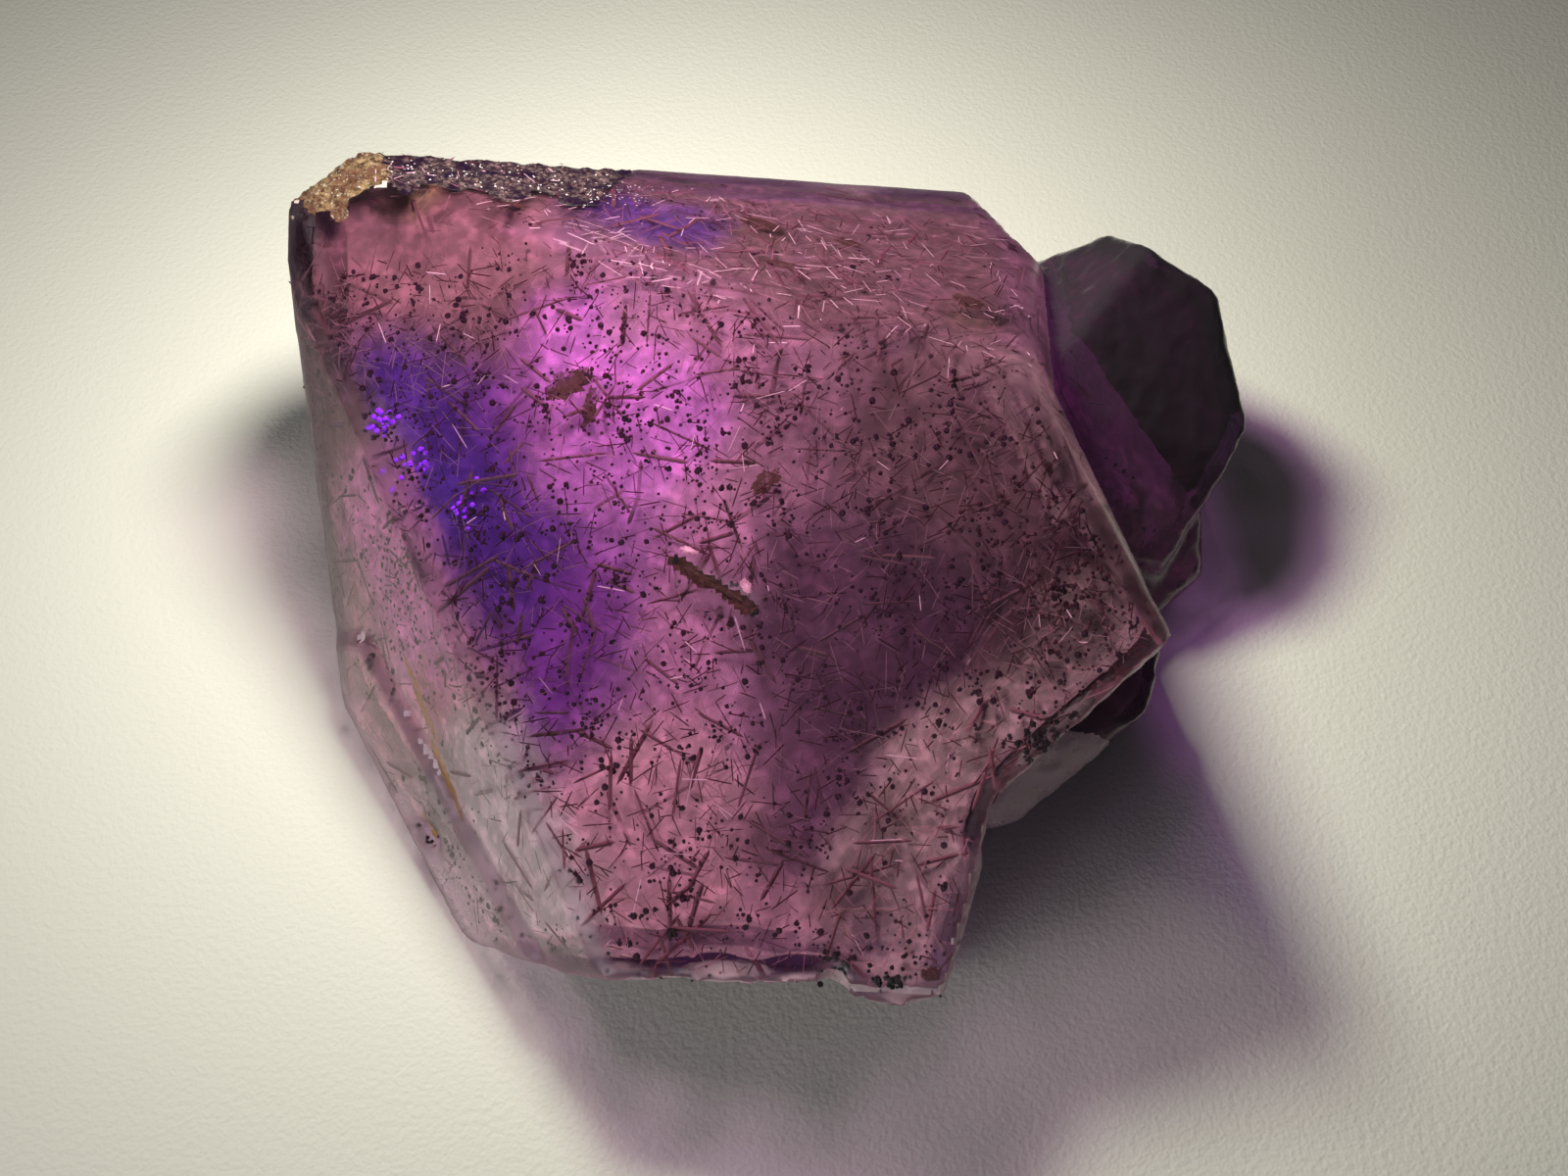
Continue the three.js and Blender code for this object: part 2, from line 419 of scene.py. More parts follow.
class Finish:
    """One material, built node by node."""

    def __init__(self, name):
        self.material = bpy.data.materials.new(name)
        self.material.use_nodes = True
        self.sheet = self.material.node_tree
        self.sheet.nodes.clear()

    def node(self, kind, settings=None, sockets=None, output=None):
        """Any node: its settings first, then what goes into its sockets, by name or by place in the list."""
        made = self.sheet.nodes.new(kind)
        for name, value in (settings or {}).items():
            setattr(made, name, value)
        for name, value in (sockets or {}).items():
            choices = [s for s in made.inputs if not s.is_unavailable]
            socket = choices[name] if isinstance(name, int) else next(s for s in choices if s.name == name)
            if isinstance(value, Wire):
                self.sheet.links.new(value.socket, socket)
            else:
                socket.default_value = value
        return Wire(self, made, made.outputs[output] if output else None)

    def place(self):
        """Where a point of the surface lies, in metres."""
        return self.node("ShaderNodeTexCoord", output="Object")

    def grain(self, size, detail=3.0, roughness=0.55, stretch=None):
        """Noise with lumps of the given size, in millimetres."""
        place = self.place()
        if stretch:
            drawn_out = {"Vector": place, "Scale": stretch}
            place = self.node("ShaderNodeMapping", {"vector_type": "TEXTURE"}, drawn_out)
        sockets = {"Vector": place, "Scale": 1 / (size * MM), "Detail": detail, "Roughness": roughness}
        return self.node("ShaderNodeTexNoise", {}, sockets)

    def paint(self):
        """The colour painted on the mesh itself."""
        return self.node("ShaderNodeAttribute", {"attribute_name": TINT}, {}, output="Color")

    def mixed(self, share, first, second, blend="MIX"):
        """Two colours mixed by a share."""
        settings = {"data_type": "RGBA", "blend_type": blend}
        return self.node("ShaderNodeMix", settings, {"Factor": share, "A": first, "B": second})

    def bump(self, height, depth):
        """A normal that is bent by a height from 0 to 1, as deep as the given millimetres."""
        return self.node("ShaderNodeBump", {}, {"Height": height, "Distance": depth * MM, "Strength": 1.0})

    def body(self, **sockets):
        """The Principled shader. A name_with_gaps stands for the socket's own name."""
        named = {key.replace("_", " "): value for key, value in sockets.items()}
        return self.node("ShaderNodeBsdfPrincipled", {"distribution": "GGX"}, named)

    def end(self, surface, volume=None):
        """Joins the shaders to the output and gives the material back."""
        joined = {"Surface": surface}
        if volume:
            joined["Volume"] = volume
        output = self.sheet.nodes.new("ShaderNodeOutputMaterial")
        for name, shader in joined.items():
            self.sheet.links.new(shader.socket, output.inputs[name])
        return self.material

    def lets_lamps_through(self, surface, tint):
        """Glass throws no hard black shade: a shadow ray meets a tinted see-through sheet in its place."""
        ray = self.node("ShaderNodeLightPath", output="Is Shadow Ray")
        sheet = self.node("ShaderNodeBsdfTransparent", {}, {"Color": tint})
        return self.node("ShaderNodeMixShader", {}, {0: ray, 1: surface, 2: sheet})


def colour(red, green, blue):
    """A colour given the way a paint program gives it, from 0 to 255, turned into light."""
    parts = [c / 255 for c in (red, green, blue)]
    light = [c / 12.92 if c <= 0.04045 else ((c + 0.055) / 1.055) ** 2.4 for c in parts]
    return (*light, 1.0)


# %% [markdown]
# Amethyst isn't one colour. The point is smoky brown at its tip, deep violet-blue behind it, and fades to a
# pale, nearly clear base at the lower right. These zones run down into the stone. Painted light is mixed in
# with them: a pink glow is painted where the lamp shines through, the right of the front is darkened with
# painted shade, and the top face's base is painted darker as shade. Nodes could mix the zones by distance,
# but a colour kept on the mesh points is simpler and is the same for every piece, so the skin, the clouds
# and the needles agree. First comes the palette.

# %% The palette
MAUVE = colour(198, 134, 176)
SIDE = colour(236, 196, 204)
# The top face's base: mauve painted darker with painted shade.
DEEP_MAUVE = colour(124, 70, 136)
SMOKY_MAUVE = colour(140, 98, 116)
SHADED_TOP_MAUVE = colour(114, 78, 90)
PALE_PINK = colour(240, 194, 196)
PALETTE = {
    "smoke": colour(134, 88, 98),
    "cream": colour(206, 166, 120),
    "violet": colour(64, 0, 134),
    "deep violet": colour(50, 0, 138),
    "purple": colour(112, 28, 150),
    # Painted light: the pink glow where the lamp shines through the stone.
    "glow": colour(204, 116, 208),
    "blush": colour(234, 176, 190),
    "rose": colour(170, 112, 150),
    # Painted shade, laid over the right of the front.
    "painted shade": colour(40, 18, 30),
    "plum": colour(54, 20, 54),
    "ash": colour(104, 72, 82),
    "pale": colour(250, 214, 214),
    "pink": colour(250, 170, 216),
    "bark": colour(104, 76, 66),
    "ochre": colour(206, 150, 80),
    "milk": colour(252, 242, 236),
}
print(len(PALETTE), "named colours")

# %% [markdown]
# The zones are painted as broad strokes on the faces. A stroke is a line from one place to another, in
# millimetres across and up on its face, then how wide it is, how softly it ends, its colour and how much it
# covers.

# %% The strokes on each face
FRONT_STROKES = [
    ((-16, 10), (-10, 9), 5.0, 3.0, "smoke", 0.95),
    ((-9, 6.5), (-6, 7.5), 2.0, 2.0, "plum", 0.45),
    ((-12.5, 1), (-7, -6), 2.6, 4.5, "purple", 0.95),
    ((-7, 3.5), (-4.5, -1), 2.0, 3.5, "purple", 0.6),
    ((-13.4, 4.4), (-9.6, -1.8), 1.9, 3.8, "violet", 1.0),
    ((-13.6, 3.0), (-11.0, 0.2), 0.6, 2.2, "deep violet", 0.9),
    # Painted light: pink glow strokes where the lamp shines through.
    ((-4.3, 6.6), (-1.5, 4.2), 1.9, 2.6, "glow", 0.95),
    ((-5.2, 2.8), (-3.6, 1.6), 1.2, 1.6, "glow", 0.7),
    ((-2, 8.8), (3, 8.2), 1.2, 1.8, "rose", 0.8),
    ((-5, -18), (-1, -14), 3.2, 3.0, "blush", 0.75),
    # Painted shade: the right of the front is darkened as if it were out of the lamp's light.
    ((13, 3), (16, -3), 4.8, 4.8, "painted shade", 0.97),
    ((6, 3), (10, 1), 3.0, 4.0, "ash", 0.6),
    ((6.5, -5), (9.5, -7.5), 2.8, 3.6, "plum", 0.9),
    ((6, -11), (5.5, -14), 1.8, 3.4, "plum", 0.75),
    ((17.5, -7.5), (13, -12), 1.8, 3.4, "pale", 0.7),
    ((12, -13), (9, -18.5), 2.4, 3.4, "pale", 0.9),
    ((5, -18.5), (-2, -18.5), 1.2, 2.4, "blush", 0.5),
]
TOP_STROKES = [
    ((-18, 9), (-12, 7), 2.5, 2.5, "smoke", 0.9),
    ((-6.5, 9.8), (-3.0, 8.8), 0.8, 2.2, "violet", 0.85),
    ((-20, 11), (-16.5, 9), 1.6, 1.6, "cream", 0.9),
    ((-10, 5), (-1, 1.5), 1.2, 1.6, "rose", 0.9),
    ((-0.5, 9.0), (1.0, 8.6), 0.5, 0.5, "bark", 0.8),
    ((3.6, 8.6), (4.8, 8.2), 0.35, 0.5, "bark", 0.6),
    ((9.0, 4.2), (10.0, 3.2), 0.5, 0.5, "bark", 0.8),
    ((12.6, 9), (12.2, -1), 0.4, 0.5, "pink", 0.9),
]
LEFT_STROKES = [
    ((-15, 10), (-13.5, 5), 2.0, 2.5, "bark", 0.8),
    ((-8.5, 1.5), (-5, -4.5), 1.8, 2.2, "pink", 1.0),
    ((-5.2, -4.6), (-1.4, -10.4), 0.28, 0.4, "ochre", 0.9),
    ((0, -11), (5, -14), 3.5, 3.0, "milk", 0.95),
    ((-4.2, -11.6), (-3.8, -12.8), 0.3, 0.6, "bark", 0.9),
]
RIGHT_STROKES = [
    ((1.3, -2.3), (6.3, -9.0), 3.0, 3.0, "pale", 0.8),
]
FACE_STROKES = {"front": FRONT_STROKES, "top": TOP_STROKES, "left": LEFT_STROKES, "right": RIGHT_STROKES}
FACE_BASE = {
    "front": MAUVE,
    # The top face is painted darker than the front: painted shade over its mauve.
    "top": SHADED_TOP_MAUVE,
    "left": PALE_PINK,
    "right": MAUVE,
    "back": DEEP_MAUVE,
    "far_back": DEEP_MAUVE,
    "under_tip": SMOKY_MAUVE,
}
print("strokes on each face:", {name: len(strokes) for name, strokes in FACE_STROKES.items()})

# %% [markdown]
# A point inside the stone takes its colour from the faces that it looks towards. Soft noise shifts the
# strokes a little to and fro, because no zone in a real crystal ends in a clean line.

# %% Turn strokes into the colour of points
DRIFT = 0.8
DRIFT_SIZE = 2.4 * MM
FACING_FROM, FACING_OVER = 0.74, 0.2
SIDE_SHARE = 0.06


def eased(value):
    """Eases values from 0 to 1."""
    value = np.clip(value, 0, 1)
    return value * value * (3 - 2 * value)


def wander(points, size, seed):
    """Soft noise at many points at once."""
    return np.array([ruffle(Vector(point), size, seed) for point in points])


def stroke_gap(across, up, start, end):
    """How far points on a face lie from a stroke's line, in millimetres."""
    run = np.subtract(end, start)
    share = ((across - start[0]) * run[0] + (up - start[1]) * run[1]) / (run @ run)
    share = np.clip(share, 0, 1)
    return np.hypot(across - start[0] - share * run[0], up - start[1] - share * run[1])


def painted(face_name, points, shift, drift):
    """The colours that the strokes of one face give the places below it."""
    face = faces[face_name]
    arms = (points - np.array(HEART)) / MM
    across = arms @ np.array(face.across) + shift
    up = arms @ np.array(face.up) + drift
    tones = np.tile(FACE_BASE[face_name][:3], (len(points), 1))
    for start, end, width, soft, name, amount in FACE_STROKES.get(face_name, []):
        share = amount * eased(1 - (stroke_gap(across, up, start, end) - width) / soft)
        tones += (np.array(PALETTE[name][:3]) - tones) * share[:, None]
    return tones


def tints(points, looks):
    """The stone's colour at places whose surface looks the given ways."""
    shift, drift = DRIFT * wander(points, DRIFT_SIZE, 31), DRIFT * wander(points, DRIFT_SIZE, 37)
    total = np.full((len(points), 1), SIDE_SHARE)
    tones = total * np.array(SIDE[:3])
    for name, face in faces.items():
        share = eased((looks @ np.array(face.normal) - FACING_FROM) / FACING_OVER)[:, None]
        tones += painted(name, points, shift, drift) * share
        total += share
    return tones / total


# %% Paint a piece
COMPANION_DARK = np.array((0.06, 0.016, 0.055))
COMPANION_NEAR, COMPANION_FAR = -3.5 * MM, 6 * MM


def keep_tones(mesh, tones):
    """Stores one colour for each point of a mesh."""
    layer = mesh.color_attributes.new(TINT, "FLOAT_COLOR", "POINT")
    layer.data.foreach_set("color", np.hstack([tones, np.ones((len(tones), 1))]).ravel())


def paint_piece(mesh, beside):
    """Keeps the stone's colour on the points of a mesh, darker towards the back on those beside the point."""
    points, looks = arrays(mesh)
    back = eased((points[:, 1] - COMPANION_NEAR) / (COMPANION_FAR - COMPANION_NEAR)) * beside
    keep_tones(mesh, tints(points, looks) * (1 - back[:, None] * (1 - COMPANION_DARK)))


# %% [markdown]
# The grown faces are clear quartz: a glass shader with quartz's own index of refraction, a little
# absorption and only a trace of paint. Its creases are worn dull, so the wear near a crease is kept on the
# points and roughens it. Glass alone would throw a black shade, so the lamp's shadow rays pass through a
# tinted sheet instead.

# %% Clear quartz
QUARTZ_IOR = 1.544
LAMP_TINT = (0.82, 0.72, 0.80, 1)
ABSORBED = (0.66, 0.28, 0.78, 1)
WHITE = (1, 1, 1, 1)
CLEAR_DENSITY, DARK_DENSITY = 8.0, 45.0


def absorbing(finish, density):
    """The violet that a light ray takes on while it runs through the stone."""
    return finish.node("ShaderNodeVolumeAbsorption", {}, {"Color": ABSORBED, "Density": density})


def glassy(finish, shade, density, **sockets):
    """Finishes a quartz by the tint of its shade, how much it absorbs and the sockets of its surface."""
    surface = finish.body(IOR=QUARTZ_IOR, **sockets)
    return finish.end(finish.lets_lamps_through(surface, shade), absorbing(finish, density))


def clear_quartz():
    """Nearly smooth, with fine growth lines."""
    finish = Finish("clear quartz")
    tint = finish.mixed(0.72, finish.paint(), WHITE)
    worn = finish.node("ShaderNodeAttribute", {"attribute_name": WORN}, {}, output="Fac")
    rough = worn * 0.42 + 0.05
    lines = finish.bump(finish.grain(0.4, 1.0, 0.7, stretch=(5, 1, 1)), 0.008)
    return glassy(
        finish, LAMP_TINT, CLEAR_DENSITY,
        Base_Color=tint, Roughness=rough, Transmission_Weight=1.0, Normal=lines
    )


# %% [markdown]
# Where the stone is broken, tiny ripples scatter the light, and the side looks frosted and paler than the
# faces. It could be rough glass alone, but half glass and half a pale solid stays bright in the shade, as
# the real one does.


# %% Broken quartz
BROKEN_TINT = (0.66, 0.56, 0.66, 1)


def broken_quartz():
    """Half glass and half pale solid, rippled."""
    finish = Finish("broken quartz")
    tint = finish.mixed(0.55, finish.paint(), (0.96, 0.90, 0.90, 1))
    rough = finish.grain(0.8, 4.0) * 0.3 + 0.12
    ripples = finish.bump(finish.grain(1.3, 4.0, 0.6), 0.05)
    return glassy(
        finish, BROKEN_TINT, CLEAR_DENSITY,
        Base_Color=tint, Roughness=rough, Transmission_Weight=0.5, Normal=ripples
    )


# %% [markdown]
# The tip is crushed to cream and brown sugar, and the crest behind it carries a dark crust that glitters.
# Both are crumbs at several sizes, so both mix their colours and their bump from noise with much detail,
# over a real relief.


# %% Sugary tip and dark crest
def sugary_quartz():
    """Cream and brown crumbs with painted near-white glints, half see-through."""
    finish = Finish("sugary tip")
    crumbs = finish.grain(0.35, 5.0, 0.7)
    patches = finish.grain(1.1, 3.0, 0.6)
    tint = finish.mixed(crumbs.over(0.52, 0.2), colour(84, 58, 44), colour(176, 146, 108))
    tint = finish.mixed(patches.over(0.52, 0.12) * 0.7, tint, colour(104, 66, 54))
    # Painted glints: the finest crumbs turn near white.
    tint = finish.mixed(finish.grain(0.16, 3.0, 0.7).over(0.64, 0.1), tint, colour(246, 238, 220))
    relief = finish.bump(crumbs, 0.14)
    surface = finish.body(
        Base_Color=tint, Roughness=crumbs * 0.4 + 0.1, IOR=QUARTZ_IOR, Transmission_Weight=0.5, Normal=relief
    )
    return finish.end(surface)


def crest_crust():
    """Dark crumbs, some of them glittering."""
    finish = Finish("dark crest crust")
    crumbs = finish.grain(0.28, 5.0, 0.75)
    patches = finish.grain(1.1, 3.0)
    tint = finish.mixed(crumbs.over(0.58, 0.2), colour(40, 26, 36), colour(126, 104, 102))
    tint = finish.mixed(patches.over(0.56, 0.1), tint, colour(36, 18, 44))
    relief = finish.bump(crumbs, 0.16)
    glitter = patches.over(0.5, 0.2) * 0.4
    surface = finish.body(Base_Color=tint, Roughness=crumbs * 0.5 + 0.05, Metallic=glitter, Normal=relief)
    return finish.end(surface)


# %% [markdown]
# The small crystal at the right is the same quartz, darker and more scratched. Denser absorption gives
# depth to the dark, which paint alone would not. The narrow notch in the front is filled with rusty dirt,
# simply dull and brown.


# %% Companion crystal and rusty notch
COMPANION_TINT = (0.6, 0.45, 0.66, 1)


def companion_quartz():
    """Dark quartz with faint scratches."""
    finish = Finish("companion quartz")
    tint = finish.mixed(0.35, finish.paint(), (0.86, 0.76, 0.90, 1))
    scratches = finish.bump(finish.grain(0.6, 4.0, 0.65), 0.03)
    return glassy(
        finish, COMPANION_TINT, DARK_DENSITY,
        Base_Color=tint, Roughness=0.12, Transmission_Weight=0.95, Normal=scratches
    )


def rusty_crust():
    """Dull brown dirt."""
    finish = Finish("rusty crust")
    crumbs = finish.grain(0.3, 4.0, 0.7)
    tint = finish.mixed(crumbs.over(0.5, 0.3), colour(26, 10, 14), colour(66, 34, 36))
    surface = finish.body(Base_Color=tint, Roughness=0.7, Normal=finish.bump(crumbs, 0.1))
    return finish.end(surface)


# %% [markdown]
# The skin is one mesh, and its finishes are slots on its faces. A face takes the kind that most of its
# corners have, so the kinds meet along the net without gaps. Only folds sharper than a real arris are
# shaded as hard edges.

# %% Give the skin its paint and its finishes
WORN_FROM, WORN_OVER = 1.1, 0.9 * MM
HARD_EDGE = math.radians(70)

paint_piece(skin_mesh, np.array(kinds) == COMPANION)
worn = skin_mesh.attributes.new(WORN, "FLOAT", "POINT")
worn.data.foreach_set("value", eased(WORN_FROM - crease_gap / WORN_OVER))
for make in (clear_quartz, broken_quartz, sugary_quartz, crest_crust, companion_quartz, rusty_crust):
    skin_mesh.materials.append(make())
for polygon in skin_mesh.polygons:
    corner_kinds = [kinds[v] for v in polygon.vertices]
    polygon.material_index = max(corner_kinds, key=corner_kinds.count)
    polygon.use_smooth = True
skin_mesh.set_sharp_from_angle(angle=HARD_EDGE)
print("skin finishes:", [m.name for m in skin_mesh.materials])

# %% [markdown]
# The clouds are phantoms, old surfaces of the crystal that dust settled on before it grew on. They run
# parallel to the faces. Like the skin, each starts as a net over the solid. Every point is pushed in until
# it lies deep enough below each face, and the folded net is woven anew, which drops what was pressed flat.
# A see-through share that changes from place to place lets one cloud show through the other, which reads as
# depth. Only the innermost is solid. Fog in the stone would look much the same, but it is slow to draw and
# can't be kept in an exported model.

# %% Draw the net in to a phantom
FLOOR_GAP = 0.7 * MM
TRIES = 3


def drawn_in(name, limits, margin, stitch, lump, lump_size, seed):
    """A closed cloud with soft lumps, inside the limits and the margin. Its lengths are in millimetres."""
    mesh = woven(raw, stitch * MM)
    for vertex in mesh.vertices:
        point = vertex.co.copy()
        for _ in range(TRIES):
            for normal, level in limits:
                over = (point - HEART).dot(normal) - level
                if over > 0:
                    point -= normal * over
            nearest, normal, _, _ = walls.find_nearest(point)
            if room(point) < margin * MM:
                point = nearest - normal * margin * MM
        point.z = max(point.z, FLOOR_GAP)
        vertex.co = point
    mesh.update()
    mesh = woven(mesh, stitch * MM)
    points, looks = arrays(mesh)
    points -= looks * (lump * MM * (1 + wander(points, lump_size * MM, seed)))[:, None]
    for index, point in enumerate(map(Vector, points)):
        if room(point) < margin * MM / 2:
            nearest, normal, _, _ = walls.find_nearest(point)
            points[index] = nearest - normal * margin * MM / 2
    mesh.polygons.foreach_set("use_smooth", [True] * len(mesh.polygons))
    put(mesh, points)
    cloud = shown(mesh, name)
    print(name, len(mesh.polygons), "squares")
    return cloud


def below(depth):
    """Limits that keep a cloud so many metres below every named face."""
    return [(face.normal, face.reach - depth) for face in faces.values()]


def pale_corner(depth):
    """The limit that leaves the base at the lower right clear."""
    front = faces["front"]
    slant = (front.across * 0.83 - front.up * 0.56).normalized()
    edge = (front.at(13.6, -4.6) - HEART).dot(slant)
    return (slant, edge - depth)


# %% Mottle the clouds and paint highlights on them
SHADED = (0.30, 0.12, 0.24, 1)
# Painted highlight: the finest mottle brightens the cloud's colour about twofold in small spots.
PAINTED_HIGHLIGHT = (2.1, 1.9, 2.0, 1)


def cloud_finish(name, least, most, patch):
    """A dull, mottled cloud with painted highlights in small spots. How solid it is swings between the two
    values.
    """
    finish = Finish(name)
    mottle = finish.grain(patch, 2.0, 0.62)
    fine = finish.grain(patch / 5, 1.0, 0.6)
    tone = finish.mixed(mottle.over(0.5, 0.5) * 0.6, finish.paint(), SHADED, "MULTIPLY")
    # Painted highlights in small spots.
    tone = finish.mixed(fine.over(0.58, 0.2) * 0.8, tone, PAINTED_HIGHLIGHT, "MULTIPLY")
    solid_share = most
    if least < most:
        solid_share = mottle.over(0.48, 0.35) * (most - least) + least
    surface = finish.body(Base_Color=tone, Roughness=0.9, Specular_IOR_Level=0.0, Alpha=solid_share)
    return finish.end(surface)


# %% Hang the clouds
VEIL_DEEP, MAUVE_DEEP, VIOLET_DEEP = 0.95 * MM, 2.1 * MM, 3.5 * MM
mauve_limits = below(MAUVE_DEEP) + [pale_corner(0.0)]
violet_limits = below(VIOLET_DEEP) + [pale_corner(1.2 * MM)]
right_of_point = (-faces["right"].normal, -faces["right"].reach)

veil = drawn_in("veil_cloud", below(VEIL_DEEP), margin=0.7, stitch=0.42, lump=0.10, lump_size=2.0, seed=3)
mauve = drawn_in("mauve_cloud", mauve_limits, margin=1.4, stitch=0.42, lump=0.25, lump_size=3.0, seed=7)
violet = drawn_in("violet_cloud", violet_limits, margin=2.2, stitch=0.45, lump=0.35, lump_size=3.5, seed=11)
companion = drawn_in(
    "companion_cloud", [right_of_point], margin=0.9, stitch=0.40, lump=0.12, lump_size=2.0, seed=19
)

for cloud, finish in (
    (veil, cloud_finish("veil cloud", 0.04, 0.42, 3.0)),
    (mauve, cloud_finish("mauve cloud", 0.30, 0.85, 3.6)),
    (violet, cloud_finish("violet cloud", 1.0, 1.0, 4.0)),
    (companion, cloud_finish("companion cloud", 0.55, 0.95, 3.0)),
):
    paint_piece(cloud.data, cloud is companion)
    cloud.data.materials.append(finish)

# %% [markdown]
# The needles are what makes this stone itself: thousands of thin, straight, red-brown crystals that lie
# every way below the faces. Each is a four-sided spindle. Instances would be lighter, but needles of one
# finish never come apart, so they are one joined mesh. A seeded random generator makes them the same at
# each run.

# %% Find places under a face
SPREAD = {
    "front": ((-18, 19), (-20, 11.5)),
    "top": ((-17, 13), (-2, 12)),
    "left": ((-15, 6), (-15, 9)),
    "right": ((-3, 9), (-12, 6)),
    "back": ((-18, 14), (-6, 8)),
    "far_back": ((-10, 12), (-8, 8)),
    "under_tip": ((-9, 9), (-12, 12)),
}


def spot_under(rng, face, depth_mean, depth_least, clearance):
    """A random place below a face and inside the stone, and how deep it lies."""
    (left, right), (low, high) = SPREAD[face]
    while True:
        depth = depth_least + rng.expovariate(1 / depth_mean)
        point = faces[face].at(rng.uniform(left, right), rng.uniform(low, high), depth)
        if room(point) > clearance * MM:
            return point


def lie(rng, face, tilt):
    """A random direction that lies nearly flat below a face, tilted by up to the given share."""
    turn = rng.uniform(0, math.tau)
    flat = faces[face].across * math.cos(turn) + faces[face].up * math.sin(turn)
    return (flat + faces[face].normal * rng.uniform(-tilt, tilt)).normalized()


# %% Heap small bodies into one mesh
BLUNT = 0.12


def netted(name, points, sides, finish):
    """A mesh made of points and sides, with one finish."""
    mesh = bpy.data.meshes.new(name)
    mesh.from_pydata(points, [], sides)
    mesh.materials.append(finish)
    mesh.update()
    print(name, "has", len(sides), "sides")
    return mesh


class Heap:
    """Many small bodies joined in one mesh."""

    def __init__(self):
        self.points = []
        self.sides = []

    def spindle(self, centre, run, side, length, width, thick):
        """A thin bar with four sides and pointed ends."""
        first = len(self.points)
        other = run.cross(side).normalized()
        side = other.cross(run).normalized()
        for end in (-1, 1):
            self.points.append(centre + run * (end * length / 2))
        for end in (-1, 1):
            middle = centre + run * (end * length * (0.5 - BLUNT))
            for across, deep in ((1, 0), (0, 1), (-1, 0), (0, -1)):
                self.points.append(middle + side * (across * width / 2) + other * (deep * thick / 2))
        ring, far = first + 2, first + 6
        for i in range(4):
            j = (i + 1) % 4
            self.sides.append((first, ring + i, ring + j))
            self.sides.append((ring + i, far + i, far + j, ring + j))
            self.sides.append((first + 1, far + j, far + i))

    def pebble(self, centre, size, flat, normal, rng):
        """A lumpy round grain, flattened along the normal."""
        first = len(self.points)
        for corner in PEBBLE_POINTS:
            point = corner * (size / 2) * rng.uniform(0.8, 1.15)
            point -= normal * (point.dot(normal) * (1 - flat))
            self.points.append(centre + point)
        self.sides += [tuple(first + i for i in side) for side in PEBBLE_SIDES]

    def piece(self, name, finish):
        """All bodies as one piece of the stone."""
        return shown(netted(name, self.points, self.sides, finish), name)


pebble_form = bmesh.new()
bmesh.ops.create_icosphere(pebble_form, subdivisions=1, radius=1.0)
PEBBLE_POINTS = [v.co.copy() for v in pebble_form.verts]
PEBBLE_SIDES = [tuple(v.index for v in f.verts) for f in pebble_form.faces]
pebble_form.free()


def dull(name, tone, roughness=0.5, metal=0.0, shine=0.5):
    """A plain solid finish."""
    finish = Finish(name)
    surface = finish.body(Base_Color=tone, Roughness=roughness, Metallic=metal, Specular_IOR_Level=shine)
    return finish.end(surface)


# %% [markdown]
# A needle that would poke out is made shorter, a few times over, until both its ends are inside. Many hairs
# lie in tufts, so every third one goes to a tuft when a face has any. Seen through the violet, a brown
# needle looks violet too, so most needles multiply their own colour with the zone's. Only the few that
# glint keep their own.

# %% Needles
SHORTENINGS = 8
SHORTER = 0.7
NEEDLE_CLEAR = 0.03 * MM
TUFT_CLEAR = 0.1 * MM
TUFT_DEPTH = (0.15, 0.9)
ONE_IN = 3
FLATNESS = 0.6
rng = random.Random(61)


def stained(name, tone, roughness=0.5):
    """A solid finish that takes on the stone's own colour round it."""
    finish = Finish(name)
    tint = finish.mixed(0.62, tone, finish.paint(), blend="MULTIPLY")
    return finish.end(finish.body(Base_Color=tint, Roughness=roughness))


def paint_as_front(mesh):
    """Keeps the colour that the front face's zones have at every point of a mesh."""
    points, _ = arrays(mesh)
    keep_tones(mesh, tints(points, np.tile(faces["front"].normal, (len(points), 1))))


def needles(name, count, shares, depth, length, width, tilt, finish, tufts=(), tuft_face="front"):
    """One mesh of loose needles, shared out over the faces, with tufts where many lie together."""
    heap = Heap()
    for face, share in shares.items():
        for index in range(int(count * share)):
            centre = spot_under(rng, face, depth[0], depth[1], width[1])
            if tufts and face == tuft_face and index % ONE_IN == 0:
                across, up, spread = rng.choice(tufts)
                across, up = rng.gauss(across, spread), rng.gauss(up, spread)
                tuft = faces[face].at(across, up, rng.uniform(*TUFT_DEPTH))
                centre = tuft if room(tuft) > TUFT_CLEAR else centre
            run = lie(rng, face, tilt)
            long = rng.uniform(*length) * MM
            for _ in range(SHORTENINGS):
                if min(room(centre + run * long / 2), room(centre - run * long / 2)) < NEEDLE_CLEAR:
                    long *= SHORTER
            wide = rng.uniform(*width) * MM
            heap.spindle(centre, run, faces[face].normal.cross(run), long, wide, wide * FLATNESS)
    paint_as_front(heap.piece(name, finish).data)


